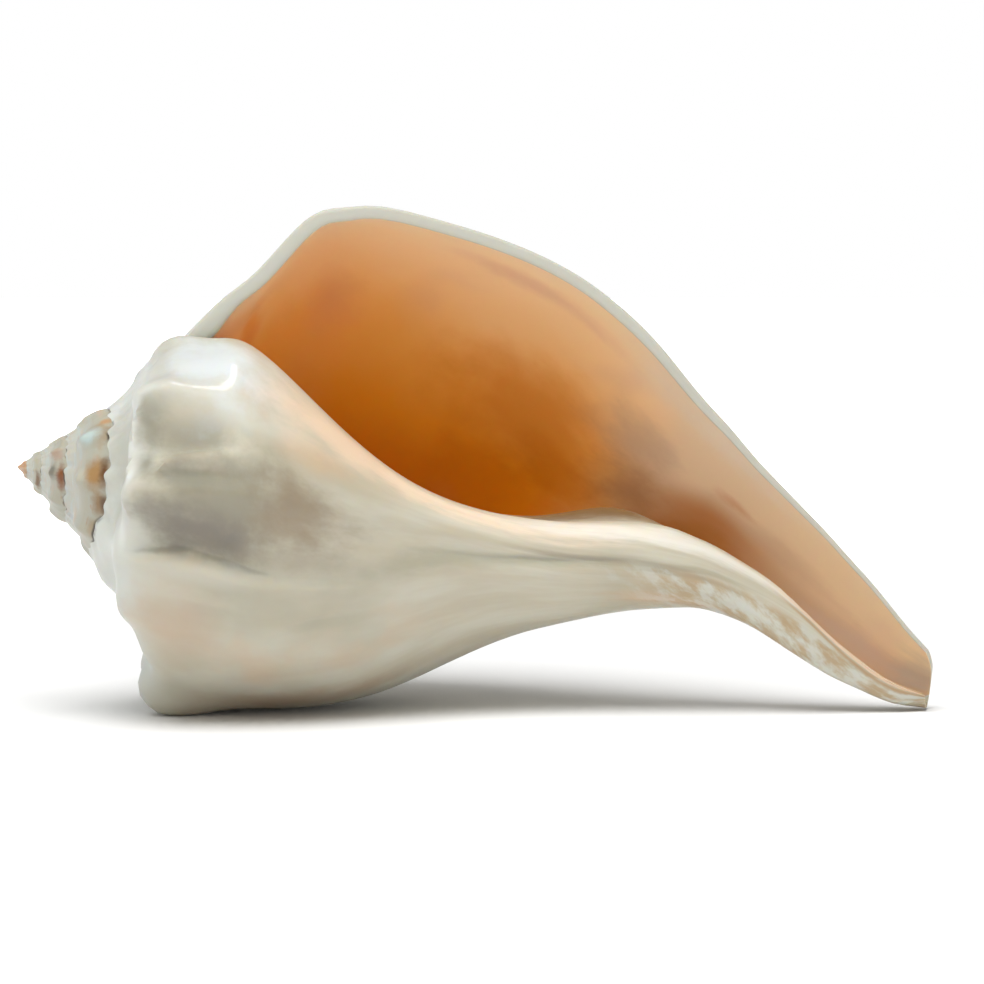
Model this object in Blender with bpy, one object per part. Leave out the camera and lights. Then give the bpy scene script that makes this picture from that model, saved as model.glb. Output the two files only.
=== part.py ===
"""A knobbed whelk shell: one hollow coiled solid, lying on its side.

The shell is a wall of one thickness wound round a centre line, from the apex to the outer lip.
Growth is counted in turns before the lip: 0 is the lip, -1 is one turn further in.
A growth line is the wall's cross section at one moment, from the suture over the shoulder
and the side down to the tip of the canal. Stations along it are numbered:
0 suture, 1 ramp, 2 shoulder, 3 upper side, 4 middle side, 5 lower side, 6 waist,
7 canal root, 8 canal middle, 9 canal end, 10 tip.
"""

import math

import bmesh
import bpy
import numpy as np
from mathutils import Matrix

MM = 0.001

# Driving dimensions, in millimetres and degrees.
WHORL_GROWTH = 1.7  # how many times larger the spire gets in one turn
FIRST_TURN = -6.0  # where the apex starts, in turns before the lip
AXIS_DIP = 9.5  # the coiling axis runs this far below level, from apex to canal

# Spiral lines on the outside of the wall, one for each station from the shoulder to the tip.
# Each row is (turns before the lip, distance from the apex along the axis, radius).
SPIRAL_LINES = (
    ((0, 53.4, 61.0), (-0.5, 37.0, 43.4), (-0.75, 27.5, 34.0), (-1, 25.0, 26.4), (-1.25, 20.8, 20.4),
     (-1.5, 16.8, 15.2)),
    ((0, 68.8, 65.4), (-0.5, 50.0, 45.6), (-1, 35.0, 30.7), (-1.25, 28.0, 24.6), (-1.5, 22.0, 19.3)),
    ((0, 92.6, 63.9), (-0.5, 67.1, 42.6), (-1, 44.3, 31.2), (-1.25, 37.4, 24.7), (-1.5, 31.8, 18.6)),
    ((0, 115.7, 55.9), (-0.5, 87.3, 33.0), (-1, 58.4, 22.0), (-1.25, 49.3, 18.1), (-1.5, 41.6, 14.6)),
    ((0, 138.3, 38.8), (-0.5, 106.6, 19.1), (-1, 75.4, 12.0), (-1.25, 63.7, 10.4), (-1.5, 50.7, 9.1)),
    ((0, 152.9, 29.2), (-0.5, 125.3, 11.5), (-1, 97.7, 7.1), (-1.25, 84.9, 5.9), (-1.5, 67.9, 5.5)),
    ((0, 167.7, 22.3), (-0.5, 146.5, 7.0), (-1, 127.4, 8.9), (-1.25, 118.9, 4.2), (-1.5, 91.3, 4.2)),
    ((0, 184.0, 16.8), (-0.5, 169.8, 4.7), (-1, 157.1, 5.7), (-1.25, 157.1, 2.5), (-1.5, 118.9, 3.0)),
    ((0, 196.8, 9.6), (-0.1, 198.8, 7.4), (-0.25, 198.9, 6.2), (-0.5, 197.9, 3.0), (-1, 197.0, 1.6),
     (-1.25, 196.0, 0.8), (-1.5, 146.5, 1.7)),
)
# How far the shell's centre line lies below the coiling axis: (distance from the apex, drop).
CENTRE_BEND = ((0, 0), (8, -0.5), (20, -1.0), (27, -1.8), (53, -2.4), (85, -0.8), (115, 0), (134, -1.2),
               (145, -1.2), (156, 0.9), (168, 5.0), (180, 10.7), (192, 15.5), (198, 16.4))
# How hollow the ramp between suture and shoulder is: (turn, share of its width).
RAMP_SAG = ((-6, 0.03), (-1, 0.03), (-0.5, 0.075), (0, 0.02))
# Where the next whorl is fused to this one, as a station: (turns before the lip, station).
SUTURE = ((-6, 3.15), (-1.75, 3.15), (-1.5, 2.35), (-1.25, 2.3), (-1, 2.5), (0, 2.5))
INNER_CORNER = ((-6, 3.5), (-1.25, 3.4), (-1, 3.1), (0, 3.1))  # the same, inside the hollow
WALL = ((0, 2.4), (4, 2.4), (6, 2.0), (8, 1.5), (10, 0.9))  # wall thickness along a growth line
HOLLOW_TURNS = 1.65  # how far in from the lip the hollow goes
HOLLOW_END = ((-6, 7.1), (-1, 7.1), (-0.45, 7.8), (-0.25, 10.0), (0, 10.0))  # its anterior end, as a station
CANAL_CLOSES = -0.305  # the canal is an open trough from the lip to this turn

KNOBS_PER_TURN = 9
KNOB_TURN = -0.75  # one knob's place, in turns before the lip
KNOB_HEIGHT = ((-6, 0.095), (-0.64, 0.095), (-0.53, 0.134), (-0.42, 0.183), (-0.3, 0.14), (0, 0.1))
KNOB_FADE = 0.35  # knobs die out over this much of the last turn, toward the lip

# Mesh fineness: growth lines in a turn, and steps along one.
LINES_PER_TURN = 36
RAMP_STEPS = 5
RIM_STEPS = 1
SIDE_STEPS = 19
SHARP_ANGLE = 40  # edges sharper than this many degrees are shaded as edges


def smooth_steps(rows, at):
    """A monotone cubic curve through the rows (x, y), read at the places given."""
    x, y = np.array(sorted(rows), float).T
    at = np.clip(np.asarray(at, float), x[0], x[-1])
    step = np.diff(x)
    slope = np.diff(y) / step
    mean = np.zeros_like(y)
    rising = slope[:-1] * slope[1:] > 0
    near, far = slope[:-1][rising], slope[1:][rising]
    mean[1:-1][rising] = 2 * near * far / (near + far)
    mean[0], mean[-1] = slope[0], slope[-1]
    i = np.clip(np.searchsorted(x, at, side="right") - 1, 0, len(x) - 2)
    t = (at - x[i]) / step[i]
    return (
        y[i] * (1 + 2 * t) * (1 - t) ** 2
        + y[i + 1] * t * t * (3 - 2 * t)
        + step[i] * (mean[i] * t * (1 - t) ** 2 - mean[i + 1] * t * t * (1 - t))
    )


def ease(x):
    x = np.clip(x, 0, 1)
    return x * x * (3 - 2 * x)


def size_at(turn):
    """Size of a whorl of the spire, against its size 1.5 turns before the lip. It is 0 at the apex."""
    least = WHORL_GROWTH ** (FIRST_TURN + 1.5)
    return (WHORL_GROWTH ** (turn + 1.5) - least) / (1 - least)


def stations(turn, suture):
    """The eleven stations of one growth line, as (along the axis, radius)."""
    points = [suture]
    for line in SPIRAL_LINES:
        if turn < -1.5:
            points.append(np.array(line[-1][1:]) * size_at(turn))
        else:
            along, radius = (
                math.exp(smooth_steps([(r[0], math.log(r[k])) for r in line], turn)) for k in (1, 2)
            )
            points.append(np.array((along, radius)))
    shoulder = points[1]
    rise = shoulder - suture
    sag = np.array((rise[1], -rise[0])) * smooth_steps(RAMP_SAG, turn)
    points.insert(1, (suture + shoulder) / 2 + sag)
    return np.array(points)


def along_line(points, at):
    """A Catmull-Rom curve through the stations, and its outward normal, read at station numbers."""
    padded = np.vstack((2 * points[0] - points[1], points, 2 * points[-1] - points[-2]))
    i = np.clip(np.floor(at).astype(int), 0, len(points) - 2)
    t = (at - i)[:, None]
    a, b, c, d = (padded[i + k] for k in range(4))
    place = 0.5 * (2 * b + (c - a) * t + (2 * a - 5 * b + 4 * c - d) * t**2 + (3 * b - a - 3 * c + d) * t**3)
    tangent = 0.5 * ((c - a) + 2 * (2 * a - 5 * b + 4 * c - d) * t + 3 * (3 * b - a - 3 * c + d) * t**2)
    tangent /= np.maximum(np.linalg.norm(tangent, axis=1, keepdims=True), 1e-9)
    return place, np.stack((-tangent[:, 1], tangent[:, 0]), axis=1)


class GrowthLines:
    """Every growth line of the shell, from the apex to the lip."""

    def __init__(self):
        self.turns = np.arange(round(-FIRST_TURN * LINES_PER_TURN) + 1) / LINES_PER_TURN + FIRST_TURN
        self.lines = []
        for i, turn in enumerate(self.turns):
            before = i - LINES_PER_TURN
            if before < 0:
                suture = np.zeros(2)
            else:
                suture = self.outside(before, np.array([smooth_steps(SUTURE, self.turns[before])]))[0]
            self.lines.append(stations(turn, suture))

    def outside(self, i, at):
        place, normal = along_line(self.lines[i], at)
        return place + normal * self.knob(i, at)[:, None]

    def knob(self, i, at):
        turn = self.turns[i]
        wave = math.cos(2 * math.pi * (turn - KNOB_TURN) * KNOBS_PER_TURN)
        lump = math.exp(1.6 * (wave - 1)) * ease(-turn / KNOB_FADE)
        reach = np.where(at < 2, 0.5, 0.95)
        height = smooth_steps(KNOB_HEIGHT, turn) * self.lines[i][2][1]
        return height * lump * np.exp(-(((at - 2) / reach) ** 2))

    def inside(self, i, at, corner):
        """The wall's inner face, which starts at the corner that it makes with the whorl before."""
        place, normal = along_line(self.lines[i], at)
        scale = min(1.0, max(0.35, (self.lines[i][2][1] / SPIRAL_LINES[0][0][2]) ** 0.35))
        place = place - normal * smooth_steps(WALL, at)[:, None] * scale
        return place + (corner - place[0]) * (1 - ease(at / 1.3))[:, None]


def to_space(turn, line):
    """Turns (along the axis, radius) into points in space, in metres, with the apex at the origin."""
    along, radius = np.asarray(line).T
    angle = 2 * math.pi * turn
    drop = smooth_steps(CENTRE_BEND, along)
    return np.stack((along, -radius * math.sin(angle), radius * math.cos(angle) - drop), axis=1) * MM


def columns(turn, end=10.0):
    """The stations that a growth line's vertices stand at, from the suture to the end given."""
    suture = smooth_steps(SUTURE, turn)
    corner = smooth_steps(INNER_CORNER, turn)
    ramp = np.linspace(0, suture, RAMP_STEPS + 1)
    rim = np.linspace(suture, corner, RIM_STEPS + 1)[1:]
    side = np.linspace(corner, end, SIDE_STEPS + 1)[1:]
    return np.concatenate((ramp, rim, side))


def sheet(bm, rows):
    """Quads between rows of points that have the same length. Returns the rows of vertices."""
    made = [[bm.verts.new(p) for p in row] for row in rows]
    for low, high in zip(made, made[1:]):
        strip(bm, low, high)
    return made


def strip(bm, first, second):
    """One row of quads between two rows of vertices that have the same length."""
    for k in range(len(first) - 1):
        bm.faces.new((first[k], first[k + 1], second[k + 1], second[k]))


def zip_up(bm, first, second):
    """Triangles between two rows of vertices of any length, each step taken on the row that lags."""
    i = j = 0
    steps_1, steps_2 = len(first) - 1, len(second) - 1
    while i < steps_1 or j < steps_2:
        if j == steps_2 or (i < steps_1 and (i + 1) * steps_2 <= (j + 1) * steps_1):
            bm.faces.new((first[i], first[i + 1], second[j]))
            i += 1
        else:
            bm.faces.new((first[i], second[j + 1], second[j]))
            j += 1


def outside_sheets(bm, growth):
    """The outside of the spire, each whorl ending at the next one's suture, and of the last whorl."""
    turns = growth.turns
    body_start = len(turns) - 1 - LINES_PER_TURN
    spire = []
    for i in range(body_start + 1):
        ramp = columns(turns[i])[: RAMP_STEPS + 1]
        spire.append(to_space(turns[i], growth.outside(i, ramp)))
    body = []
    for i in range(body_start, len(turns)):
        body.append(to_space(turns[i], growth.outside(i, columns(turns[i]))))
    sheet(bm, spire)
    return sheet(bm, body)


def hollow_sheets(bm, growth):
    """The two sides of the hollow: the wall's inner face, and the whorl before, which it winds round."""
    turns = growth.turns
    inner, core = [], []
    for i in range(len(turns) - 1 - round(HOLLOW_TURNS * LINES_PER_TURN), len(turns)):
        before = i - LINES_PER_TURN
        core_line = growth.outside(before, columns(turns[before])[RAMP_STEPS + RIM_STEPS :])
        end = float(smooth_steps(HOLLOW_END, turns[i]))
        inner_line = growth.inside(i, columns(turns[i], end), core_line[0])
        core.append(to_space(turns[i], core_line))
        inner.append(to_space(turns[i], inner_line))
    return sheet(bm, inner), sheet(bm, core)


def close_canal(bm, body, inner, core):
    """The hollow's anterior edge: a floor as far as the open canal, then the canal's own rim and end."""
    open_steps = round(-CANAL_CLOSES * LINES_PER_TURN)
    body_end = [row[-1] for row in body]
    inner_end = [row[-1] for row in inner]
    core_end = [row[-1] for row in core]
    strip(bm, inner_end[: -open_steps], core_end[: -open_steps])
    strip(bm, inner_end[-open_steps - 1 :], body_end[-open_steps - 1 :])
    bm.faces.new((inner_end[-open_steps - 1], body_end[-open_steps - 1], core_end[-open_steps - 1]))
    zip_up(bm, body_end[-open_steps - 1 :: -1], core_end[-open_steps - 1 :])


def build_mesh():
    growth = GrowthLines()
    bm = bmesh.new()
    body = outside_sheets(bm, growth)
    inner, core = hollow_sheets(bm, growth)
    strip(bm, body[-1], inner[-1])  # the lip
    zip_up(bm, inner[0], core[0])  # the hollow's blind end
    close_canal(bm, body, inner, core)
    bmesh.ops.remove_doubles(bm, verts=bm.verts, dist=1e-6)
    bmesh.ops.dissolve_degenerate(bm, edges=bm.edges, dist=1e-7)
    bmesh.ops.triangulate(bm, faces=bm.faces)
    bmesh.ops.recalc_face_normals(bm, faces=bm.faces)
    mesh = bpy.data.meshes.new("whelk_shell")
    bm.to_mesh(mesh)
    bm.free()
    return mesh


def shell_material():
    material = bpy.data.materials.new("glossy_cream_shell")
    material.use_nodes = True
    shader = material.node_tree.nodes["Principled BSDF"]
    shader.inputs["Base Color"].default_value = (0.74, 0.70, 0.61, 1)
    shader.inputs["Roughness"].default_value = 0.25
    shader.inputs["Metallic"].default_value = 0.0
    return material


def lay_down(mesh):
    """Dips the coiling axis to the resting angle and sets the origin at the middle of the base."""
    mesh.transform(Matrix.Rotation(math.radians(AXIS_DIP), 4, "Y"))
    points = np.array([v.co for v in mesh.vertices])
    low, high = points.min(axis=0), points.max(axis=0)
    middle = (low + high) / 2
    mesh.transform(Matrix.Translation((-middle[0], -middle[1], -low[2])))


def main():
    for obj in list(bpy.data.objects):
        bpy.data.objects.remove(obj)
    mesh = build_mesh()
    lay_down(mesh)
    mesh.materials.append(shell_material())
    mesh.shade_smooth()
    mesh.set_sharp_from_angle(angle=math.radians(SHARP_ANGLE))
    shell = bpy.data.objects.new("whelk_shell", mesh)
    bpy.context.scene.collection.objects.link(shell)


main()
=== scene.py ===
"""Dresses the whelk shell: a fine mesh of the coiled wall, its glossy finish, and a plain studio.

The shell is a wall wound round a centre line, from the apex to the outer lip. Growth is counted in
turns before the lip: 0 is the lip, -1 is one turn further in. A growth line is the wall's cross section
at one moment, from the suture over the shoulder and the side down to the tip of the canal. Stations
along it are numbered: 0 suture, 1 ramp, 2 shoulder, 3 upper side, 4 middle side, 5 lower side, 6 waist,
7 canal root, 8 canal middle, 9 canal end, 10 tip.
"""

from __future__ import annotations

import logging
import math
from collections.abc import Callable
from dataclasses import dataclass, field
from enum import Enum, IntEnum

import bpy
import numpy as np
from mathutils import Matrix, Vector


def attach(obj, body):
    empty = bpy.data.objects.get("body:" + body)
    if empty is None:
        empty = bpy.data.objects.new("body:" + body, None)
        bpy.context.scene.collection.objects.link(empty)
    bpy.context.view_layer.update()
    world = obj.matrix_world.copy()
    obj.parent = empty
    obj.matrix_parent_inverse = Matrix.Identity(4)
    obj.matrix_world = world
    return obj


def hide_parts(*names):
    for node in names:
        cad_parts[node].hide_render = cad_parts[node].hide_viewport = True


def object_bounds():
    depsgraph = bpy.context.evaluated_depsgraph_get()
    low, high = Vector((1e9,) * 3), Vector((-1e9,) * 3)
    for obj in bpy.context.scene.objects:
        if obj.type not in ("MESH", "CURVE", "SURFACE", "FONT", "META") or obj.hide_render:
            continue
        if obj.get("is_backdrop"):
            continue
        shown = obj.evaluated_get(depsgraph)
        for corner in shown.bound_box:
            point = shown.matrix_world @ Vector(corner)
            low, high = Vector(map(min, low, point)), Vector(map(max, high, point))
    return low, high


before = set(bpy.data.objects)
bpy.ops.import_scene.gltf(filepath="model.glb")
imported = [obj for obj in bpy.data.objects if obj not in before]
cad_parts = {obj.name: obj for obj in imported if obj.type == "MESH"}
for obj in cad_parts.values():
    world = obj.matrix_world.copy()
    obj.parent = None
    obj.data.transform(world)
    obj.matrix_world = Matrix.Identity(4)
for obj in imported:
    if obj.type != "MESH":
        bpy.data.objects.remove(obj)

NODE = "whelk_shell"
LOG = logging.getLogger(NODE)
MM = 0.001

Array = np.ndarray
Pair = tuple[float, float]
Point = Colour = tuple[float, float, float]
Rows = tuple[tuple[float, ...], ...]


class Face(float, Enum):
    """The surfaces of the shell, with the lining value that the finish reads."""

    OUTSIDE = 0.0
    LINING = 1.0


class Station(IntEnum):
    """The stations that the shape is measured from."""

    SHOULDER = 2
    TIP = 10


def curve(rows: Rows, at: Array | float) -> Array:
    """Reads a monotone cubic curve.

    Args:
        rows: the curve's points (x, y), in any order.
        at: the places to read.

    Returns:
        The curve's height at each place, held level past its ends.
    """
    x, y = np.array(sorted(rows), float).T
    at = np.clip(np.asarray(at, float), x[0], x[-1])
    step = np.diff(x)
    slope = np.diff(y) / step
    mean = np.zeros_like(y)
    rising = slope[:-1] * slope[1:] > 0
    near, far = slope[:-1][rising], slope[1:][rising]
    mean[1:-1][rising] = 2 * near * far / (near + far)
    mean[0], mean[-1] = slope[0], slope[-1]
    i = np.clip(np.searchsorted(x, at, side="right") - 1, 0, len(x) - 2)
    t = (at - x[i]) / step[i]
    return (
        y[i] * (1 + 2 * t) * (1 - t) ** 2
        + y[i + 1] * t * t * (3 - 2 * t)
        + step[i] * (mean[i] * t * (1 - t) ** 2 - mean[i + 1] * t * t * (1 - t))
    )


def ease(x: Array | float) -> Array:
    """Eases from 0 to 1 as x does, and holds past them."""
    x = np.clip(x, 0, 1)
    return x * x * (3 - 2 * x)


def waves(rows: Rows, turn: float) -> float:
    """Adds up sine waves, given as rows of (radians to a turn, start, height)."""
    return sum(height * math.sin(beat * turn + start) for beat, start, height in rows)


def spline_matrix(count: int) -> Array:
    """Makes the matrix that turns so many evenly spaced spline points into second derivatives."""
    left, right = np.eye(count), np.zeros((count, count))
    for i in range(1, count - 1):
        left[i, i - 1 : i + 2] = (1, 4, 1)
        right[i, i - 1 : i + 2] = (6, -12, 6)
    return np.linalg.solve(left, right)


@dataclass(frozen=True)
class Swell:
    """A swelling of the wall, or a hollow where its height is below 0.

    It is centred on a turn and a station, reaches so far along each, stands so many millimetres high,
    and leans by so much of a turn from one station to the next.
    """

    turn: float
    station: float
    height: float
    turn_reach: float
    station_reach: float
    lean: float = 0.0

    def rise(self, turn: float, at: Array) -> Array:
        """Gives the swelling's height at a turn and stations."""
        away = (turn - self.turn - self.lean * (at - self.station)) / self.turn_reach
        aside = (at - self.station) / self.station_reach
        return self.height * np.exp(-(away**2) - aside**2)


@dataclass(frozen=True)
class Crest:
    """A fold or ridge along a line on the wall, or a furrow where its height is below 0.

    Its line is rows of (place along, place across, height in millimetres): a fold runs along the
    stations and a ridge along the turns. It falls away over one reach before the line, another after it.
    """

    line: Rows
    before: float
    after: float

    def rise(self, along: Array | float, across: Array | float) -> Array:
        """Gives the height at places along and across."""
        places = [row[1] for row in self.line]
        before, after = min(places) - 3 * self.before, max(places) + 3 * self.after
        if np.max(across) <= before or np.min(across) >= after:
            return np.zeros(np.shape(along))
        away = across - curve(tuple(row[:2] for row in self.line), along)
        height = curve(tuple((row[0], row[2]) for row in self.line), along)
        return height * np.exp(-((away / np.where(away < 0, self.before, self.after)) ** 2))


SWELLS = tuple(Swell(*row) for row in (
    (-0.685, 1.3, 2.8, 0.04, 0.7), (-0.639, 2.3, -1.4, 0.028, 0.8), (-0.85, 2.9, 0.8, 0.02, 0.8),
    (-0.755, 2.5, -0.9, 0.06, 0.9), (-0.745, 5.6, -0.8, 0.025, 1.3), (-1.03, 7.95, 3, 0.024, 0.38),
    (-1, 7.35, -1.4, 0.03, 0.35), (-0.97, 8.36, 0.9, 0.028, 0.22), (-0.905, 3.2, 0.8, 0.03, 0.8),
    (-0.965, 1.75, -2.6, 0.028, 0.55), (-0.935, 0.45, -1, 0.03, 0.4), (-0.955, 2.5, 1.4, 0.028, 0.35),
    (-1.53, 2.1, -1.3, 0.035, 0.8), (-1.95, 2.1, -0.6, 0.06, 0.9), (-2.95, 2.2, -0.6, 0.08, 0.8),
    (-0.54, 1.7, -4.2, 0.035, 0.48), (-0.6, 1.85, -0.5, 0.025, 0.5), (-0.6, 0.6, 2.8, 0.05, 0.45),
    (-0.2, 2.45, -0.9, 0.05, 0.9), (-0.005, 2.45, -1.1, 0.04, 0.35), (-0.99, 9.6, -3.2, 0.14, 0.3),
    (-0.85, 9.9, -1.1, 0.12, 0.35), (-0.97, 10, -1.4, 0.12, 0.3), (-0.6, 9.15, 2.9, 0.115, 0.52),
    (-0.51, 5.6, -1.1, 0.1, 0.7), (0, 5.25, 1.1, 0.1, 0.65), (0, 7.2, -0.7, 0.1, 0.7),
    (-0.005, 0.6, 1.5, 0.06, 0.4), (-0.795, 2.15, -1.2, 0.032, 0.22), (-0.6, 10.02, -1.8, 0.2, 0.13),
))
FOLDS = tuple(Crest(*row) for row in (
    (((1.9, -0.788, 0), (2.2, -0.79, -1.2), (2.5, -0.798, -2.3), (2.9, -0.804, -1.8),
      (3.5, -0.808, -0.7), (4.3, -0.81, 0)), 0.028, 0.006),
    (((2, -0.76, 0), (2.15, -0.766, 0.8), (2.32, -0.777, 1.1), (2.5, -0.787, 1.1),
      (2.8, -0.793, 0.8), (3.3, -0.797, 0.4), (4, -0.8, 0)), 0.007, 0.007),
    (((2.2, -0.766, 0), (2.5, -0.773, -0.7), (2.9, -0.778, -0.8), (3.5, -0.777, -0.4),
      (4.2, -0.776, 0)), 0.008, 0.007),
    (((1.9, -0.745, 0), (2.15, -0.751, 0.6), (2.9, -0.762, 1.1), (3.4, -0.762, 0.7),
      (4.2, -0.76, 0)), 0.008, 0.013),
    (((1.95, -0.697, 0), (2.1, -0.699, -1.8), (2.5, -0.7035, -3.3), (3.05, -0.701, -3.5),
      (3.7, -0.6955, -2.6), (4.3, -0.692, -1.3), (5.2, -0.688, 0)), 0.036, 0.004),
    (((1.9, -0.691, 0), (2.1, -0.693, 1), (2.6, -0.6975, 1.3), (3.05, -0.695, 1.3),
      (3.7, -0.6895, 1), (4.3, -0.686, 0.6), (5.2, -0.682, 0)), 0.004, 0.034),
    (((8.9, -0.96, 0), (9.15, -0.935, 0.4), (9.4, -0.85, 0.6), (9.65, -0.8, 0.6),
      (10, -0.765, 0.3)), 0.03, 0.014),
    (((2.4, -0.666, 0), (2.7, -0.664, -0.4), (3.3, -0.661, -0.4), (3.7, -0.658, 0)), 0.004, 0.006),
    (((3.8, -0.63, 0), (4.05, -0.636, -0.6), (4.3, -0.647, -0.6), (4.7, -0.65, -0.5),
      (5.1, -0.65, 0)), 0.004, 0.006),
    (((4.6, -0.735, 0), (5.4, -0.722, -0.5), (6.4, -0.72, -0.9), (7.4, -0.765, -0.8),
      (8.2, -0.8, 0)), 0.012, 0.02),
))


@dataclass
class ShellForm:
    """The shape of the shell, in millimetres and degrees, with the apex at the origin till it is placed."""

    whorl_growth: float = 1.7
    first_turn: float = -6.0
    spire_end: float = -1.5
    axis_dip: float = 9.5
    apex: Point = (-97.17, -8.48, 52.1)
    spiral_lines: tuple[Rows, ...] = (
        ((0, 53.4, 61), (-0.5, 37, 43.4), (-0.75, 27.5, 34), (-1, 25, 26.4), (-1.25, 20.8, 20.4),
         (-1.5, 16.8, 15.2)),
        ((0, 68.8, 65.4), (-0.5, 50, 45.6), (-1, 35, 30.7), (-1.25, 28, 24.6), (-1.5, 22, 19.3)),
        ((0, 92.6, 63.9), (-0.5, 67.1, 42.6), (-1, 44.3, 31.2), (-1.25, 37.4, 24.7), (-1.5, 31.8, 18.6)),
        ((0, 115.7, 55.9), (-0.5, 87.3, 33), (-1, 58.4, 22), (-1.25, 49.3, 18.1), (-1.5, 41.6, 14.6)),
        ((0, 138.3, 38.8), (-0.5, 106.6, 19.1), (-1, 75.4, 12), (-1.25, 63.7, 10.4), (-1.5, 50.7, 9.1)),
        ((0, 152.9, 29.2), (-0.5, 125.3, 11.5), (-1, 97.7, 7.1), (-1.25, 84.9, 5.9), (-1.5, 67.9, 5.5)),
        ((0, 167.7, 22.3), (-0.5, 146.5, 7), (-1, 127.4, 8.9), (-1.25, 118.9, 4.2), (-1.5, 91.3, 4.2)),
        ((0, 184, 16.8), (-0.5, 169.8, 4.7), (-1, 157.1, 5.7), (-1.25, 157.1, 2.5), (-1.5, 118.9, 3)),
        ((0, 196.8, 9.6), (-0.1, 198.7, 7.4), (-0.25, 199.1, 6.2), (-0.5, 198.2, 3), (-1, 197.3, 1.6),
         (-1.25, 196.3, 0.8), (-1.5, 146.5, 1.7)),
    )
    centre_bend: Rows = (
        (0, 0), (8, -0.5), (20, -1), (27, -1.8), (53, -2.4), (85, -0.8), (115, 0), (134, -1.2),
        (145, -1.2), (156, 0.9), (168, 5), (180, 10.7), (192, 15.5), (198, 16.4),
    )
    ramp_sag: Rows = ((-6, 0.03), (-1, 0.03), (-0.5, 0.075), (0, 0.02))
    suture: Rows = ((-6, 3.15), (-1.75, 3.15), (-1.5, 2.35), (-1.25, 2.3), (-1, 2.5), (0, 2.5))
    inner_corner: Rows = ((-6, 3.5), (-1.25, 3.4), (-1, 3.1), (0, 3.1))
    wall: Rows = ((0, 3.3), (2, 3.1), (3, 2.7), (5, 2.5), (6.5, 2.0), (8, 1.5), (10, 0.9))
    hollow_turns: float = 1.65
    hollow_near: float = 0.5
    hollow_end: Rows = ((-6, 7.1), (-1, 7.1), (-0.45, 7.8), (-0.25, 10.0), (0, 10.0))
    canal_closes: float = 0.3
    knobs_per_turn: int = 9
    knob_turn: float = -0.75
    knob_sharpness: float = 1.6
    knob_reach: Pair = (0.5, 0.95)
    knob_height: Rows = (
        (-6, 0.095), (-0.64, 0.095), (-0.53, 0.134), (-0.42, 0.183), (-0.3, 0.14), (0, 0.1),
    )
    knob_fade: float = 0.35
    swells: tuple[Swell, ...] = SWELLS
    folds: tuple[Crest, ...] = FOLDS
    keel: Crest = Crest(
        ((-6, 1.95, 0.5), (-0.95, 2.2, 0.5), (-0.9, 2.45, 1.2), (-0.86, 2.38, 2), (-0.845, 2.12, 2.6),
         (-0.83, 1.87, 2.9), (-0.81, 1.76, 2.9), (-0.775, 1.8, 2.3), (-0.755, 2.02, 1.6),
         (-0.735, 1.95, 1.6), (-0.7, 1.68, 1.5), (-0.66, 1.72, 1), (-0.58, 1.95, 0.7), (-0.5, 1.95, 0.4),
         (0, 1.95, 0)), 0.18, 0.16,
    )
    suture_edge: float = 0.55
    suture_edge_rise: float = 0.07
    suture_edge_fall: float = 0.45
    suture_wave: float = 0.05
    suture_waves: Rows = ((22 * math.pi, 0.4, 1.0), (38 * math.pi, 2.0, 0.7), (62 * math.pi, 4.0, 0.5))
    seam_clear: float = 0.25
    worn_below: float = 0.4
    ripple: float = 0.12
    ripple_waves: Rows = ((61, 1.3, 1.0), (103, 0.0, 0.6), (147, 0.7, 0.5))
    ripple_fades: Point = (0.8, 3.0, 0.04)
    small_relief: float = 0.7
    small_wall: float = 0.35
    corner_blend: float = 1.3
    table_blur: float = 0.025
    table_pad: int = 40
    lines_per_turn: int = 264
    front_share: float = 0.64
    table_steps: int = 160
    ramp_steps: int = 18
    rim_steps: int = 3
    side_steps: int = 92

    def __post_init__(self) -> None:
        """Works out every growth line, each from the suture that the whorl before gives it."""
        self.turns = self.spread_turns()
        self.tables = self.station_tables()
        self.second = spline_matrix(self.tables.shape[1] + 2)
        self.lines: list[Array] = []
        for i, turn in enumerate(self.turns):
            before = i - self.lines_per_turn
            suture = np.zeros(2)
            if before >= 0:
                at = self.suture_at(self.turns[before])
                suture = self.outside(before, np.array([at]))[0]
            self.lines.append(self.growth_line(i, turn, suture))

    def spread_turns(self) -> Array:
        """Places the growth lines, closer together on the half of each turn that faces the front."""
        front = round(self.lines_per_turn * self.front_share)
        first = np.linspace(0, 0.5, front + 1)[:-1]
        second = np.linspace(0.5, 1, self.lines_per_turn - front + 1)[:-1]
        whole = np.arange(round(self.first_turn), 0)
        return np.append((whole[:, None] + np.append(first, second)).ravel(), 0.0)

    def suture_at(self, turn: float) -> float:
        """Gives the station where the next whorl is laid on this one, on a slightly wavy line."""
        return float(curve(self.suture, turn)) + self.suture_wave * waves(self.suture_waves, turn)

    def size_at(self, turn: Array) -> Array:
        """Gives a spire whorl's size, against its size where the spire ends."""
        least = self.whorl_growth ** (self.first_turn - self.spire_end)
        return (self.whorl_growth ** (turn - self.spire_end) - least) / (1 - least)

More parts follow.
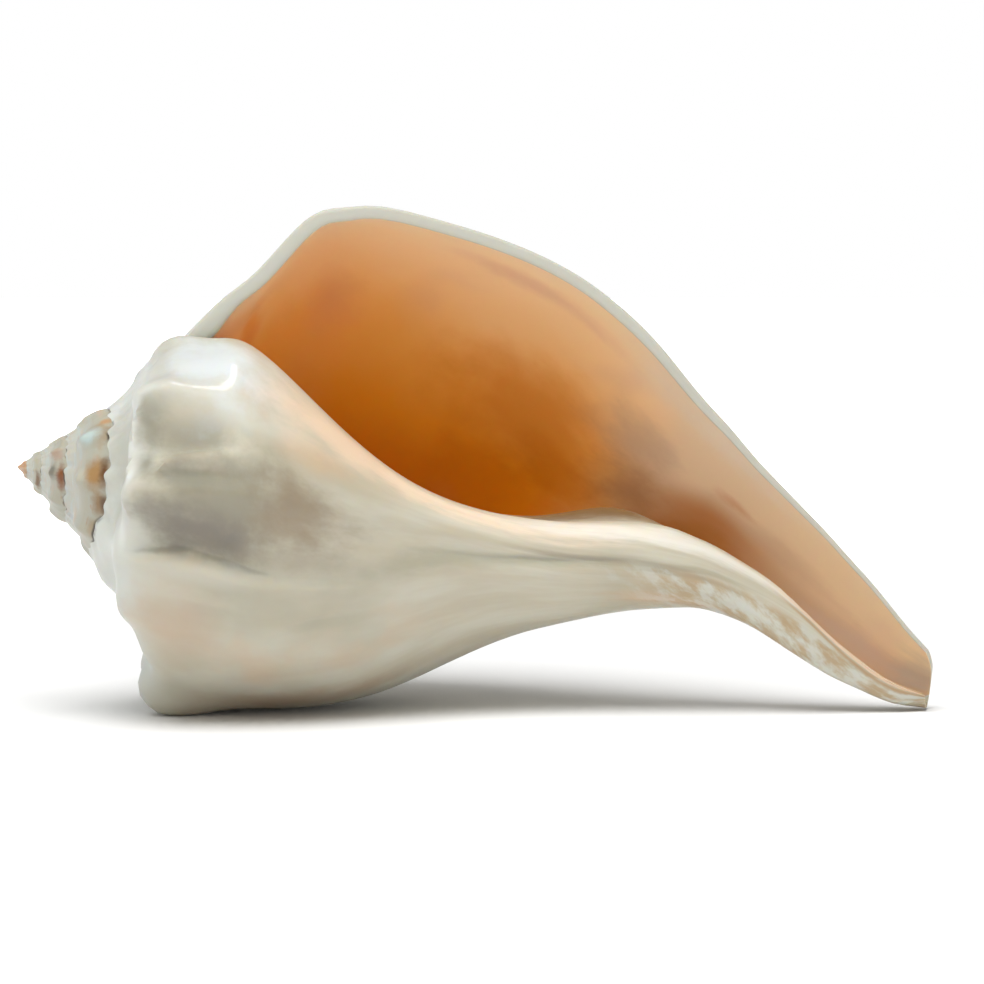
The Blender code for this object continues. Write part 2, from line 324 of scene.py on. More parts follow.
    def station_tables(self) -> Array:
        """Reads every spiral line at every growth line and takes the corners off the result.

        Returns:
            An array of growth lines by spiral lines by (along the axis, radius).
        """
        pad = self.table_pad
        count = round(-self.first_turn * self.table_steps)
        turns = np.arange(count + pad + 1) / self.table_steps + self.first_turn
        made = np.zeros((len(turns), len(self.spiral_lines), 2))
        spire = turns < self.spire_end
        for k, line in enumerate(self.spiral_lines):
            for axis in (0, 1):
                rows = tuple((row[0], math.log(row[axis + 1])) for row in line)
                made[:, k, axis] = np.exp(curve(rows, turns))
                made[spire, k, axis] = line[-1][axis + 1] * self.size_at(turns[spire])
        for j in range(1, pad + 1):
            made[count + j] = 2 * made[count] - made[count - j]
        width = self.table_blur * self.table_steps
        reach = np.arange(-pad, pad + 1)
        kernel = np.exp(-((reach / width) ** 2) / 2)
        kernel /= kernel.sum()
        blurred = made.copy()
        for i in range(pad, count + 1):
            blurred[i] = np.tensordot(kernel, made[i - pad : i + pad + 1], 1)
        place = (self.turns - self.first_turn) * self.table_steps
        low = np.minimum(np.floor(place).astype(int), count - 1)
        share = (place - low)[:, None, None]
        return blurred[low] * (1 - share) + blurred[low + 1] * share

    def growth_line(self, i: int, turn: float, suture: Array) -> Array:
        """Puts one growth line's stations in a row, as (along the axis, radius)."""
        shoulder = self.tables[i, 0]
        rise = shoulder - suture
        sag = np.array((rise[1], -rise[0])) * curve(self.ramp_sag, turn)
        ramp = (suture + shoulder) / 2 + sag
        return np.vstack((suture, ramp, self.tables[i]))

    def along_line(self, i: int, at: Array) -> tuple[Array, Array]:
        """Reads one growth line's curve.

        Args:
            i: which growth line.
            at: the stations to read.

        Returns:
            The places (along the axis, radius) and the outward normals there.
        """
        points = self.lines[i]
        bend = self.second @ points
        k = np.clip(np.floor(at).astype(int), 0, len(points) - 2)
        t = (at - k)[:, None]
        s = 1 - t
        place = s * points[k] + t * points[k + 1] + ((s**3 - s) * bend[k] + (t**3 - t) * bend[k + 1]) / 6
        tangent = points[k + 1] - points[k] + ((1 - 3 * s**2) * bend[k] + (3 * t**2 - 1) * bend[k + 1]) / 6
        tangent /= np.maximum(np.linalg.norm(tangent, axis=1, keepdims=True), 1e-9)
        return place, np.stack((-tangent[:, 1], tangent[:, 0]), axis=1)

    def knobs(self, turn: float, at: Array) -> Array:
        """Gives the height of the shoulder's knobs, as a share of the shoulder's radius."""
        wave = math.cos(2 * math.pi * (turn - self.knob_turn) * self.knobs_per_turn)
        reach = np.where(at < Station.SHOULDER, *self.knob_reach)
        height = float(curve(self.knob_height, turn)) * float(ease(-turn / self.knob_fade))
        height *= math.exp(self.knob_sharpness * (wave - 1))
        return height * np.exp(-(((at - Station.SHOULDER) / reach) ** 2))

    def ripples(self, turn: float, at: Array) -> Array:
        """Gives the height of the growth ripples, in millimetres."""
        height = self.ripple * waves(self.ripple_waves, turn) * (0.6 + 0.4 * np.cos(1.3 * at + 9 * turn))
        start, end, lip = self.ripple_fades
        return height * ease(at / start) * ease((9.5 - at) / end) * ease(-turn / lip)

    def suture_lip(self, turn: float, at: Array) -> Array:
        """Gives the height of the ragged edge that each whorl lays over the one before."""
        worn = 0.6 + 0.25 * math.sin(43 * turn) * math.sin(19 * turn + 2) + 0.25 * math.sin(131 * turn)
        rise = 1 - np.exp(-at / self.suture_edge_rise)
        return self.suture_edge * worn * rise * np.exp(-at / self.suture_edge_fall)

    def swelling(self, turn: float, at: Array) -> Array:
        """Gives the height of all the swellings and folds together, in millimetres."""
        swollen = sum(swell.rise(turn, at) for swell in self.swells)
        return sum((fold.rise(at, turn) for fold in self.folds), swollen) * ease(at / self.seam_clear)

    def relief(self, i: int, at: Array) -> Array:
        """Gives how far the outside stands proud of its smooth form, in millimetres."""
        turn = self.turns[i]
        shoulder = self.lines[i][Station.SHOULDER][1]
        size = min(1.0, shoulder / self.spiral_lines[0][0][2]) ** self.small_relief
        fine = self.keel.rise(turn, at) + self.ripples(turn, at) + self.suture_lip(turn, at)
        return shoulder * self.knobs(turn, at) + size * fine + self.swelling(turn, at)

    def outside(self, i: int, at: Array) -> Array:
        """Gives places on the wall's outside, as (along the axis, radius)."""
        place, normal = self.along_line(i, at)
        return place + normal * self.relief(i, at)[:, None]

    def inside(self, i: int, at: Array, corner: Array) -> Array:
        """Gives places on the wall's inside, which starts at a corner on the whorl before."""
        place, normal = self.along_line(i, at)
        share = self.lines[i][Station.SHOULDER][1] / self.spiral_lines[0][0][2]
        size = min(1.0, max(self.small_wall, share**self.small_wall))
        depth = curve(self.wall, at) * size - self.swelling(self.turns[i], at)
        place = place - normal * depth[:, None]
        return place + (corner - place[0]) * (1 - ease(at / self.corner_blend))[:, None]

    def columns(self, turn: float, end: float = Station.TIP) -> Array:
        """Gives the stations of a growth line's vertices, from the suture to the end given."""
        suture = self.suture_at(turn)
        corner = float(curve(self.inner_corner, turn))
        ramp = np.linspace(0, suture, self.ramp_steps + 1)
        rim = np.linspace(suture, corner, self.rim_steps + 1)[1:]
        side = np.linspace(corner, end, self.side_steps + 1)[1:]
        return np.concatenate((ramp, rim, side))

    def to_space(self, turn: float, line: Array) -> Array:
        """Turns (along the axis, radius) into points in metres, in the shell's resting place."""
        along, radius = line.T
        angle = 2 * math.pi * turn
        drop = curve(self.centre_bend, along)
        out, up = -radius * math.sin(angle), radius * math.cos(angle) - drop
        dip = math.radians(self.axis_dip)
        ahead = along * math.cos(dip) + up * math.sin(dip)
        above = up * math.cos(dip) - along * math.sin(dip)
        placed = np.stack((ahead, out, above), axis=1) + np.array(self.apex)
        low = np.minimum(placed[:, 2], self.worn_below)
        placed[:, 2] += self.worn_below * np.exp(low / self.worn_below - 1) - low
        return placed * MM


@dataclass
class Sheet:
    """A sheet of the shell's skin, as rows of points and five marks for each one.

    The marks are its turn, its station, its lining (0 outside, 1 inside), its rim (1 on the cut edge of
    the lip and canal) and its seam (1 in the joint between two whorls).
    """

    name: str
    points: list[Array] = field(default_factory=list)
    marks: list[Array] = field(default_factory=list)

    def add_row(
        self, points: Array, turn: float, at: Array, lining: float, rim: float = 0, seam: Array | float = 0
    ) -> None:
        """Adds one row of points with its marks."""
        self.points.append(points)
        spread = np.ones(len(at))
        marks = (turn * spread, at, lining * spread, rim * spread, seam * spread)
        self.marks.append(np.stack(marks, axis=1))

    def build(self) -> bpy.types.Object:
        """Adds a flat grid of this many rows and rolls it up, point by point.

        Returns:
            The sheet's object, with the marks in its three UV maps.
        """
        rows, cols = len(self.points), len(self.points[0])
        bpy.ops.object.select_all(action="DESELECT")
        bpy.ops.mesh.primitive_grid_add(x_subdivisions=cols - 1, y_subdivisions=rows - 1, size=1)
        obj = bpy.context.object
        obj.name = self.name
        mesh = obj.data
        flat = np.zeros(len(mesh.vertices) * 3)
        mesh.vertices.foreach_get("co", flat)
        place = (flat.reshape(-1, 3)[:, :2] + 0.5) * (cols - 1, rows - 1)
        col, row = np.rint(place).astype(int).T
        mesh.vertices.foreach_set("co", np.array(self.points)[row, col].ravel())
        corners = np.zeros(len(mesh.loops), dtype=int)
        mesh.loops.foreach_get("vertex_index", corners)
        marks = np.array(self.marks)[row, col][corners]
        mesh.uv_layers[0].name = "growth"
        mesh.uv_layers.new(name="zones")
        mesh.uv_layers.new(name="seams")
        for name, held in (("growth", (0, 1)), ("zones", (2, 3)), ("seams", (4, 3))):
            mesh.uv_layers[name].data.foreach_set("uv", marks[:, held].ravel())
        mesh.update()
        return obj


@dataclass
class ShellPiece:
    """The whole shell as one closed mesh, made of sheets that are joined edge to edge."""

    form: ShellForm
    name: str = "shell_wall"
    weld: float = 0.000002
    apex_reach: float = 0.00015
    rim_rows: int = 7
    rim_bulge: float = 0.6
    rim_square: float = 0.7
    core_fade: float = 0.06
    floor_rows: int = 3
    seam_reach: float = 0.1
    deep_step: int = 4
    sharp_angle: float = 55.0

    def outside_sheets(self) -> list[Sheet]:
        """Lays out the spire, each whorl ending at the next one's suture, and the last whorl."""
        form = self.form
        body_start = len(form.turns) - 1 - form.lines_per_turn
        spire, body = Sheet("spire"), Sheet("body")
        for i, turn in enumerate(form.turns):
            whole = form.columns(turn)
            at = whole[: form.ramp_steps + 1]
            if i <= body_start:
                seam = np.exp(-at / self.seam_reach) + np.exp(-(at[-1] - at) / self.seam_reach)
                spire.add_row(form.to_space(turn, form.outside(i, at)), turn, at, Face.OUTSIDE, seam=seam)
            if i >= body_start:
                seam = np.exp(-whole / self.seam_reach)
                line = form.to_space(turn, form.outside(i, whole))
                body.add_row(line, turn, whole, Face.OUTSIDE, seam=seam)
        return [spire, body]

    def hollow_sheets(self) -> list[Sheet]:
        """Lays out the hollow's two sides: the wall's inner face, and the whorl that it winds round."""
        form = self.form
        inner, core = Sheet("inner"), Sheet("core")
        skip = form.ramp_steps + form.rim_steps
        near = np.flatnonzero(form.turns >= -form.hollow_near)
        deep = np.flatnonzero((form.turns >= -form.hollow_turns) & (form.turns < -form.hollow_near))
        for i in (*deep[:: self.deep_step], *near):
            turn = form.turns[i]
            before = i - form.lines_per_turn
            core_at = form.columns(form.turns[before])[skip:]
            core_line = form.outside(before, core_at)
            depth = float(ease(-turn / self.core_fade))
            core.add_row(form.to_space(turn, core_line), form.turns[before], core_at, depth)
            at = form.columns(turn, float(curve(form.hollow_end, turn)))
            inner_line = form.inside(i, at, core_line[0])
            inner.add_row(form.to_space(turn, inner_line), turn, at, Face.LINING)
        return [inner, core]

    def lip_sheet(self, body: Sheet, inner: Sheet) -> Sheet:
        """Rounds the lip from the outside over to the inside."""
        lip = Sheet("lip")
        outer_row, inner_row = body.points[-1], inner.points[-1]
        half = (outer_row - inner_row) / 2
        thick = np.linalg.norm(half, axis=1, keepdims=True)
        forward = np.array((0.0, -1.0, 0.0)) * thick * self.rim_bulge
        at = body.marks[-1][:, 1]
        for k in range(self.rim_rows + 1):
            angle = math.pi * k / self.rim_rows
            square = np.sign(math.cos(angle)) * abs(math.cos(angle)) ** self.rim_square
            row = (outer_row + inner_row) / 2 + half * square + forward * math.sin(angle) ** self.rim_square
            edge = float(ease(4 * math.sin(angle)))
            lip.add_row(row, 0.0, at, k / self.rim_rows, edge)
        return lip

    def canal_sheets(self, body: Sheet, inner: Sheet, core: Sheet) -> list[Sheet]:
        """Closes the hollow's anterior edge: a floor as far as the open canal, then the canal's own rim."""
        steps = int(np.sum(self.form.turns > -self.form.canal_closes))
        floor, rim = Sheet("floor"), Sheet("canal_rim")
        inner_end, core_end, body_end = (
            np.array([row[-1] for row in sheet.points]) for sheet in (inner, core, body)
        )
        inner_marks = np.array([row[-1] for row in inner.marks])
        for share in np.arange(self.floor_rows + 1) / self.floor_rows:
            floor.points.append(inner_end[:-steps] * (1 - share) + core_end[:-steps] * share)
            floor.marks.append(inner_marks[:-steps])
            rim.points.append(inner_end[-steps - 1 :] * (1 - share) + body_end[-steps - 1 :] * share)
            marks = inner_marks[-steps - 1 :].copy()
            marks[:, 2] = 1 - share
            marks[:, 3] = 4 * share * (1 - share)
            rim.marks.append(marks)
        return [floor, rim]

    def gather_apex(self, shell: bpy.types.Object) -> None:
        """Merges the first whorl's smallest faces into one point, with the shell in edit mode."""
        apex = Vector(self.form.apex) * MM
        bpy.ops.mesh.select_all(action="DESELECT")
        bpy.ops.object.mode_set(mode="OBJECT")
        for vertex in shell.data.vertices:
            vertex.select = (vertex.co - apex).length < self.apex_reach
        bpy.ops.object.mode_set(mode="EDIT")
        bpy.ops.mesh.merge(type="CENTER")

    def build(self) -> bpy.types.Object:
        """Builds the sheets, joins them, welds their edges and closes the two small ends.

        Returns:
            The shell's object, closed, with its faces pointing out.
        """
        spire, body = self.outside_sheets()
        inner, core = self.hollow_sheets()
        sheets = [body, spire, inner, core, self.lip_sheet(body, inner)]
        sheets += self.canal_sheets(body, inner, core)
        made = [sheet.build() for sheet in sheets]
        for obj in made:
            obj.select_set(True)
        shell = made[0]
        bpy.context.view_layer.objects.active = shell
        bpy.ops.object.join()
        shell.name = shell.data.name = self.name
        bpy.ops.object.mode_set(mode="EDIT")
        bpy.ops.mesh.select_all(action="SELECT")
        bpy.ops.mesh.remove_doubles(threshold=self.weld)
        bpy.ops.mesh.dissolve_degenerate(threshold=1e-7)
        self.gather_apex(shell)
        bpy.ops.mesh.select_all(action="SELECT")
        bpy.ops.mesh.fill_holes(sides=0)
        bpy.ops.mesh.select_all(action="SELECT")
        bpy.ops.mesh.normals_make_consistent(inside=False)
        bpy.ops.object.mode_set(mode="OBJECT")
        bpy.ops.object.shade_smooth_by_angle(angle=math.radians(self.sharp_angle))
        return shell


def operator(operation: str, swapped: bool = False) -> Callable[..., Signal]:
    """Makes a method of Signal that adds a Math node, swapped where the operator is a reflected one."""

    def method(self: Signal, other: Signal | float = 0.0) -> Signal:
        """Adds the node."""
        return self.graph.math(operation, *((other, self) if swapped else (self, other)))

    return method


class Signal:
    """A shader socket that takes part in sums, differences, products and quotients."""

    def __init__(self, graph: ShaderGraph, socket: bpy.types.NodeSocket) -> None:
        """Keeps the graph that the socket belongs to."""
        self.graph = graph
        self.socket = socket

    __add__ = __radd__ = operator("ADD")
    __mul__ = __rmul__ = operator("MULTIPLY")
    __sub__ = operator("SUBTRACT")
    __rsub__ = operator("SUBTRACT", swapped=True)
    __truediv__ = operator("DIVIDE")
    abs = operator("ABSOLUTE")


Input = Signal | float | tuple


class ShaderGraph:
    """The nodes of one material or world."""

    def __init__(self, owner: bpy.types.Material | bpy.types.World) -> None:
        """Empties the owner's nodes."""
        self.owner = owner
        owner.use_nodes = True
        self.tree = owner.node_tree
        self.tree.nodes.clear()

    def shine(self, shader: Signal) -> bpy.types.Material | bpy.types.World:
        """Feeds the shader to a new output node and gives the owner back."""
        kind = "World" if isinstance(self.owner, bpy.types.World) else "Material"
        self.node("Output" + kind, None, {"Surface": shader}, out=None)
        return self.owner

    def node(
        self, kind: str, settings: dict | None = None, inputs: dict | None = None, out: int | str | None = 0
    ) -> Signal | None:
        """Adds any node.

        Args:
            kind: the node's type, without the leading ShaderNode.
            settings: its properties, set before its sockets.
            inputs: values or signals for its input sockets, by name or number.
            out: which output to hand back, or None where the node has none.

        Returns:
            That output.
        """
        made = self.tree.nodes.new("ShaderNode" + kind)
        for key, value in (settings or {}).items():
            if key == "stops":
                self.set_stops(made.color_ramp, value)
            else:
                setattr(made, key, value)
        for key, value in (inputs or {}).items():
            self.feed(made.inputs[key], value)
        return None if out is None else Signal(self, made.outputs[out])

    def set_stops(self, ramp: bpy.types.ColorRamp, stops: tuple[tuple[float, Colour], ...]) -> None:
        """Gives a colour ramp its stops, in order."""
        while len(ramp.elements) < len(stops):
            ramp.elements.new(1.0)
        for element, (place, colour) in zip(ramp.elements, stops):
            element.position = place
            element.color = (*colour, 1.0)

    def feed(self, socket: bpy.types.NodeSocket, value: Input) -> None:
        """Links a signal to a socket, or sets the socket to a constant."""
        if isinstance(value, Signal):
            self.tree.links.new(value.socket, socket)
        elif isinstance(value, tuple) and socket.type == "RGBA":
            socket.default_value = (*value, 1.0)
        else:
            socket.default_value = value

    def math(self, operation: str, first: Signal | float, second: Signal | float = 0.0) -> Signal:
        """Adds a Math node."""
        return self.node("Math", {"operation": operation}, {0: first, 1: second})

    def step(self, value: Signal, low: float, high: float, top: float = 1.0) -> Signal:
        """Eases from 0 at low to the top at high, whichever of the two is the smaller."""
        inputs = {"Value": value, "From Min": low, "From Max": high, "To Max": top}
        return self.node("MapRange", {"interpolation_type": "SMOOTHSTEP"}, inputs)

    def band(self, value: Signal, middle: float, width: float, top: float = 1.0) -> Signal:
        """Peaks at the top where the value is at the middle and falls to 0 a width away."""
        return self.step((value - middle).abs(), width, 0.0, top)

    def mix(self, share: Signal | float, first: Input, second: Input) -> Signal:
        """Mixes two colours: the first where the share is 0, the second where it is 1."""
        return self.node("Mix", {"data_type": "RGBA"}, {0: share, 6: first, 7: second}, out=2)

    def vector(self, x: Signal | float, y: Signal | float, z: Signal | float = 0.0) -> Signal:
        """Puts three values into a vector."""
        return self.node("CombineXYZ", None, {0: x, 1: y, 2: z})

    def length(self, vector: Signal) -> Signal:
        """Gives a vector's length."""
        return self.node("VectorMath", {"operation": "LENGTH"}, {0: vector}, out="Value")

    def noise(self, place: Signal, scale: float, detail: float, rough: float) -> Signal:
        """Reads smooth noise between 0 and 1."""
        inputs = {"Vector": place, "Scale": scale, "Detail": detail, "Roughness": rough}
        return self.node("TexNoise", None, inputs)

    def marks(self, name: str) -> tuple[Signal, Signal]:
        """Reads the two marks that a UV map of the piece holds."""
        split = self.node("SeparateXYZ", None, {0: self.node("UVMap", {"uv_map": name})})
        return split, Signal(self, split.socket.node.outputs["Y"])


@dataclass(frozen=True)
class Wash:
    """A soft patch of another colour, centred on a turn and a station, with its reach along each.

    It leans by so much of a turn from one station to the next.
    """

    colour: Colour
    turn: float
    station: float
    turn_reach: float
    station_reach: float
    share: float = 1.0
    lean: float = 0.0

    def far(self, turn: Signal, station: Signal) -> Signal:
        """Gives how far a place is from the patch's middle, where 1 is its reach."""
        away, aside = turn - self.turn, station - self.station
        if self.lean:
            away = away - aside * self.lean
        return turn.graph.length(turn.graph.vector(away / self.turn_reach, aside / self.station_reach))


@dataclass(frozen=True)
class Mottle:
    """Patches that follow smooth noise, stretched along the turns and the stations."""

    stretch: Pair
    edge: Pair
    share: float
    detail: float = 3.0
    rough: float = 0.6
    shift: float = 0.0

    def show(self, turn: Signal, station: Signal) -> Signal:
        """Gives how much of the patches' colour shows, from 0 to their share."""
        graph = turn.graph
        place = graph.vector(turn * self.stretch[0], station * self.stretch[1], self.shift)
        return graph.step(graph.noise(place, 1.0, self.detail, self.rough), *self.edge, self.share)


TINTS_AND_PAINTED_LIGHT = tuple(Wash(*row) for row in (
    # Painted shade, in this row and the six below it: darker patches on the front of the last whorl, in the
    # hollows and furrows round the front knob and its folds, in a band across the middle of the side and
    # along a line under the columella. The patch at turn -0.81 darkens the hollow beside the shoulder
    # ridge.
    ((0.265, 0.245, 0.18), -0.755, 3.3, 0.06, 1.5, 0.88),
    ((0.205, 0.182, 0.152), -0.724, 2.9, 0.024, 1.05, 0.88, 0.006),
    ((0.225, 0.215, 0.16), -0.771, 2.75, 0.011, 0.6, 0.8),
    ((0.29, 0.27, 0.205), -0.81, 2.75, 0.024, 0.8, 0.65),
    ((0.27, 0.205, 0.13), -0.752, 4.4, 0.04, 0.7, 0.8), ((0.35, 0.31, 0.235), -0.707, 4.4, 0.014, 0.8, 0.6),
    ((0.35, 0.33, 0.245), -0.718, 6.2, 0.024, 1.6, 0.75, -0.018),
    ((0.35, 0.32, 0.235), -0.765, 7.9, 0.022, 0.9, 0.75, -0.03),
    # The patch at turn -0.818 is a peach blotch of the shell's own; the dark patches at turns -0.71,
    # -0.7015 and -0.6985 are painted shade in the crease below the front fold.
    ((0.56, 0.4, 0.25), -0.818, 4.75, 0.02, 0.5, 0.6), ((0.21, 0.19, 0.15), -0.71, 2.8, 0.008, 0.7, 0.6),
    ((0.21, 0.195, 0.15), -0.7015, 2.45, 0.0022, 0.45, 0.6, -0.01),
    ((0.21, 0.195, 0.15), -0.6985, 3.3, 0.0022, 0.7, 0.6, 0.0085),
    # Painted highlight: the pale patch at turn -0.69 lights the crease's lower side. Painted shade: the
    # patches at stations 8.35 and 7.5 darken the fold line under the columella; the one at turn -0.905 is
    # the callus's own pale colour.
    ((0.54, 0.52, 0.44), -0.69, 2.9, 0.009, 0.9, 0.7), ((0.3, 0.25, 0.175), -0.75, 8.35, 0.018, 0.5, 0.7),
    ((0.31, 0.27, 0.2), -0.772, 7.5, 0.014, 0.8, 0.7), ((0.6, 0.63, 0.62), -0.905, 3.2, 0.07, 1.2),
    ((0.74, 0.58, 0.43), -0.88, 5.3, 0.05, 1.3, 0.9), ((0.76, 0.64, 0.5), -0.865, 6.7, 0.055, 1.1, 0.95),
    ((0.76, 0.72, 0.64), -0.905, 7.9, 0.055, 1, 0.95), ((0.7, 0.68, 0.61), -0.9, 8.9, 0.05, 0.8, 0.9),
    ((0.66, 0.46, 0.31), -0.965, 9.65, 0.04, 0.75, 0.95), ((0.5, 0.37, 0.26), -0.64, 2.6, 0.04, 0.7, 0.55),
    ((0.54, 0.36, 0.22), -0.6, 7.9, 0.05, 0.6, 0.6), ((0.62, 0.34, 0.18), -0.938, 1.55, 0.012, 0.25, 0.8),
    # The patch at turn -1.022 is the columella crescent's own brown. The patch at turn -0.535, station 3.9
    # is painted shade with a brown reflection in it, low on the body near the floor.
    ((0.2, 0.11, 0.04), -1.022, 7.9, 0.036, 0.8), ((0.36, 0.25, 0.16), -0.535, 3.9, 0.022, 1.1, 0.75),
    # Painted highlight: the four pale patches on this row and the three below light the crest of the
    # shoulder ridge. Painted shade: the three darker patches after them darken the body just past the
    # crest.
    ((0.58, 0.6, 0.58), -0.826, 1.82, 0.02, 0.09, 0.35),
    ((0.58, 0.6, 0.58), -0.795, 1.77, 0.02, 0.09, 0.35),
    ((0.66, 0.68, 0.66), -0.765, 1.9, 0.014, 0.09, 0.7),
    ((0.66, 0.68, 0.64), -0.716, 1.8, 0.022, 0.09, 0.75),
    ((0.29, 0.275, 0.205), -0.836, 2.2, 0.016, 0.28, 0.75),
    ((0.28, 0.265, 0.2), -0.815, 2.06, 0.026, 0.22, 0.8),
    ((0.25, 0.24, 0.185), -0.782, 2.06, 0.018, 0.17, 0.85), ((0.43, 0.43, 0.36), -0.8, 0.6, 0.12, 0.8, 0.7),
    ((0.33, 0.185, 0.065), -1.768, 2.75, 0.038, 0.46, 0.95),
    ((0.13, 0.06, 0.02), -1.774, 3.06, 0.032, 0.18), ((0.25, 0.145, 0.055), -1.706, 2.98, 0.026, 0.32, 0.9),
    ((0.11, 0.055, 0.022), -1.708, 3.1, 0.02, 0.13, 0.95),
    ((0.3, 0.22, 0.11), -1.655, 2.9, 0.022, 0.36, 0.75), ((0.2, 0.07, 0.02), -2.745, 2.95, 0.056, 0.34),
    ((0.38, 0.27, 0.2), -2.84, 2.45, 0.036, 0.6, 0.8), ((0.13, 0.12, 0.09), -2.765, 2.25, 0.04, 0.45, 0.8),
    ((0.17, 0.09, 0.045), -3.675, 2.75, 0.08, 0.35, 0.85),
    ((0.25, 0.15, 0.06), -1.862, 2.62, 0.042, 0.72, 0.8), ((0.43, 0.52, 0.5), -1.86, 2.42, 0.034, 0.52),
    ((0.44, 0.24, 0.1), -1.905, 3, 0.014, 0.3, 0.9), ((0.46, 0.23, 0.1), -5.3, 1.6, 1.05, 4, 0.9),
))
LINING_TINTS_AND_PAINTED_LIGHT = tuple(Wash(*row) for row in (
    ((0.74, 0.27, 0.02), -0.155, 5.1, 0.055, 1.1, 0.7), ((0.8, 0.27, 0), -0.212, 4.9, 0.025, 0.8, 0.8),
    ((0.52, 0.37, 0.25), -0.112, 6, 0.036, 0.55, 0.6), ((0.5, 0.31, 0.18), -0.118, 8, 0.026, 1, 0.35),
    ((0.76, 0.37, 0.18), -0.122, 2.69, 0.03, 0.4, 0.7), ((0.74, 0.46, 0.3), -0.038, 4.6, 0.012, 0.85, 0.6),
    ((0.84, 0.31, 0.05), -0.105, 1.1, 0.04, 0.25, 0.7), ((0.44, 0.16, 0.02), -0.19, 7.1, 0.03, 0.75, 0.75),
    ((0.44, 0.18, 0.04), -0.172, 6.3, 0.022, 0.4, 0.7), ((0.58, 0.27, 0.12), -0.1, 7.35, 0.01, 0.3, 0.6),
    ((0.55, 0.4, 0.28), -0.19, 9.3, 0.05, 0.9, 0.8), ((0.46, 0.4, 0.3), -0.16, 9.92, 0.12, 0.35, 0.6),
    # Painted light: the two patches on this row lighten and yellow the lining in the upper corner under the
    # lip, where the lip's shadow falls.
    ((0.95, 0.44, 0.1), -0.15, 2.45, 0.06, 0.9, 0.5), ((0.95, 0.6, 0.28), -0.085, 2.2, 0.04, 0.7, 0.5),
    ((0.76, 0.68, 0.55), -0.008, 6.8, 0.042, 1.3, 0.7), ((0.36, 0.19, 0.09), -0.16, 6.1, 0.035, 0.45, 0.5),
    ((0.64, 0.2, 0), -0.19, 5.4, 0.025, 0.5, 0.6),
))


